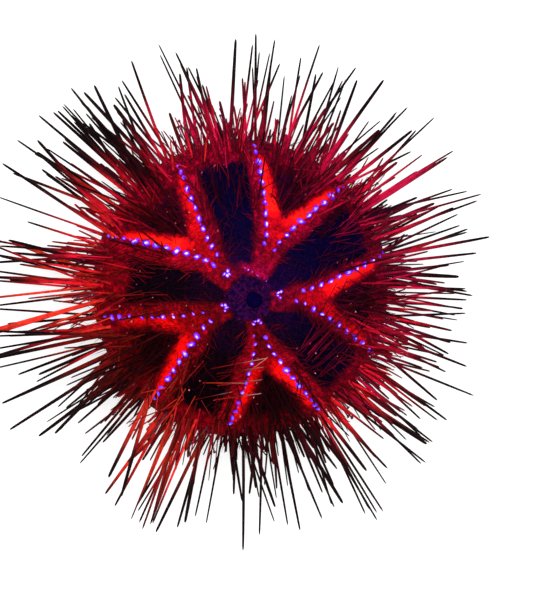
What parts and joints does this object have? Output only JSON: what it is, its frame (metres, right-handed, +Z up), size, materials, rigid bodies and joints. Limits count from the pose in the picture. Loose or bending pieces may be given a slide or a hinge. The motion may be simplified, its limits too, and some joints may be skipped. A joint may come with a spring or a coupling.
{
  "type": "radiant sea urchin",
  "caption": "Life-size radiant sea urchin: a low round shell with bare forked red bands and blue spots, and long straight spines all round, standing on its lower spines.",
  "frame": {"origin": "on the floor, under the middle of the whole spread of spines", "axes": "+Z up, from mouth to anus; +X to the right and +Y to the top of the picture's view from above"},
  "size_m": [0.0988, 0.0958, 0.0309],
  "materials": {
    "red_skin": "satin wet skin over the broad plates, bright red along a forked bare band, with maroon to orange-red spines",
    "dark_skin": "satin wet skin over the narrow plates, blackish navy, with fine crimson spines",
    "genital_skin": "satin crimson skin with small blue-white spots",
    "periproct_skin": "satin dark purple skin with fine pores",
    "anal_skin": "satin blue-black skin",
    "oral_skin": "matte thin skin round the mouth, dull red-brown",
    "lip_skin": "satin pale red-brown lip",
    "tooth": "satin off-white tooth"
  },
  "bodies": {
    "root": {"interambulacrum_1": "red_skin", "interambulacrum_2": "red_skin", "interambulacrum_3": "red_skin", "interambulacrum_4": "red_skin", "interambulacrum_5": "red_skin", "ambulacrum_1": "dark_skin", "ambulacrum_2": "dark_skin", "ambulacrum_3": "dark_skin", "ambulacrum_4": "dark_skin", "ambulacrum_5": "dark_skin", "genital_plate_1": "genital_skin", "genital_plate_2": "genital_skin", "genital_plate_3": "genital_skin", "genital_plate_4": "genital_skin", "genital_plate_5": "genital_skin", "periproct": "periproct_skin", "anal_cone": "anal_skin", "peristome": "oral_skin", "lip": "lip_skin", "tooth_1": "tooth", "tooth_2": "tooth", "tooth_3": "tooth", "tooth_4": "tooth", "tooth_5": "tooth"}
  },
  "joints": []
}
